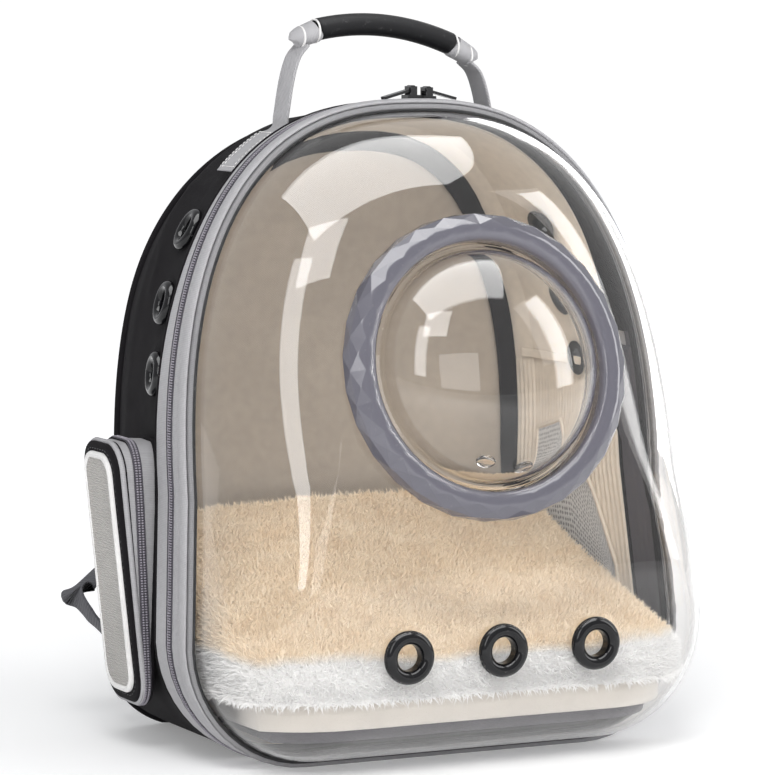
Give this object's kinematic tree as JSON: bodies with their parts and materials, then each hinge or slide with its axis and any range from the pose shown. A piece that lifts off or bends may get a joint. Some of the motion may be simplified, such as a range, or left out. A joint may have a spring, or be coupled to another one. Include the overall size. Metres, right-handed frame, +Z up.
{
  "type": "bubble pet carrier backpack",
  "caption": "Arched soft backpack for carrying a small pet, with a clear domed front shell, a round bubble window, vent eyelets, side pockets, a plush mat and padded straps.",
  "frame": {"origin": "middle of the footprint of the whole carrier, on the surface it stands on", "axes": "+Z up, -Y towards the clear shell, +Y towards the shoulder straps, +X to the right when looking at the shell"},
  "size_m": [0.4072, 0.336, 0.4776],
  "materials": {
    "clear_plastic": "clear moulded plastic",
    "ring_plastic": "glossy faceted plastic",
    "black_plastic": "glossy black plastic",
    "black_cloth": "black woven cloth",
    "grey_tape": "light grey woven tape and coated cloth",
    "dark_tape": "dark grey woven cloth",
    "zip_teeth": "moulded coil zip",
    "zip_metal": "black lacquered metal",
    "beige_lining": "beige lining cloth",
    "taupe_lining": "taupe lining cloth",
    "mesh_cloth": "fine mesh",
    "tan_plush": "tan plush with a white plush edge",
    "cream_plush": "cream looped plush",
    "strap_webbing": "dark grey ribbed webbing"
  },
  "bodies": {
    "carrier": {"front_shell": "clear_plastic", "bubble_window": "clear_plastic", "window_ring": "ring_plastic", "vent_eyelet_left": "black_plastic", "vent_eyelet_middle": "black_plastic", "vent_eyelet_right": "black_plastic", "side_eyelet_left_low": "black_plastic", "side_eyelet_right_low": "black_plastic", "side_eyelet_left_middle": "black_plastic", "side_eyelet_right_middle": "black_plastic", "side_eyelet_left_high": "black_plastic", "side_eyelet_right_high": "black_plastic", "handle_grip": "black_plastic", "strap_adjuster_left": "black_plastic", "strap_adjuster_right": "black_plastic", "rim_gasket": "grey_tape", "gusset_band_front": "grey_tape", "gusset_band_rear": "grey_tape", "handle_collar_left": "grey_tape", "handle_collar_right": "grey_tape", "handle_webbing_left": "grey_tape", "handle_webbing_right": "grey_tape", "zip_chain": "zip_teeth", "pocket_left_zip": "zip_teeth", "pocket_right_zip": "zip_teeth", "inner_band_upper": "black_cloth", "body_side": "black_cloth", "back_panel": "black_cloth", "back_seam": "black_cloth", "pocket_left_face": "black_cloth", "pocket_right_face": "black_cloth", "shoulder_strap_left": "black_cloth", "shoulder_strap_right": "black_cloth", "inner_band_lower": "dark_tape", "pocket_left_gusset": "dark_tape", "pocket_right_gusset": "dark_tape", "floor_board": "dark_tape", "side_lining": "beige_lining", "back_lining": "taupe_lining", "pocket_left_mesh_panel": "mesh_cloth", "pocket_right_mesh_panel": "mesh_cloth", "mesh_window_left": "mesh_cloth", "mesh_window_right": "mesh_cloth", "mat_base": "cream_plush", "mat_pad": "tan_plush", "strap_webbing_left": "strap_webbing", "strap_webbing_right": "strap_webbing", "zip_slider_left": "zip_metal", "zip_slider_right": "zip_metal"},
    "pull_left": {"zip_pull_left": "zip_metal"},
    "pull_right": {"zip_pull_right": "zip_metal"}
  },
  "joints": [
    {"name": "pull_left_swing", "type": "hinge", "parent": "carrier", "child": "pull_left", "pos_m": [0.00725, -0.00052, 0.42751], "axis": [0, 1, 0], "range_deg": [0, 110]},
    {"name": "pull_right_swing", "type": "hinge", "parent": "carrier", "child": "pull_right", "pos_m": [0.01875, -0.00052, 0.42669], "axis": [0, -1, 0], "range_deg": [0, 110]}
  ]
}
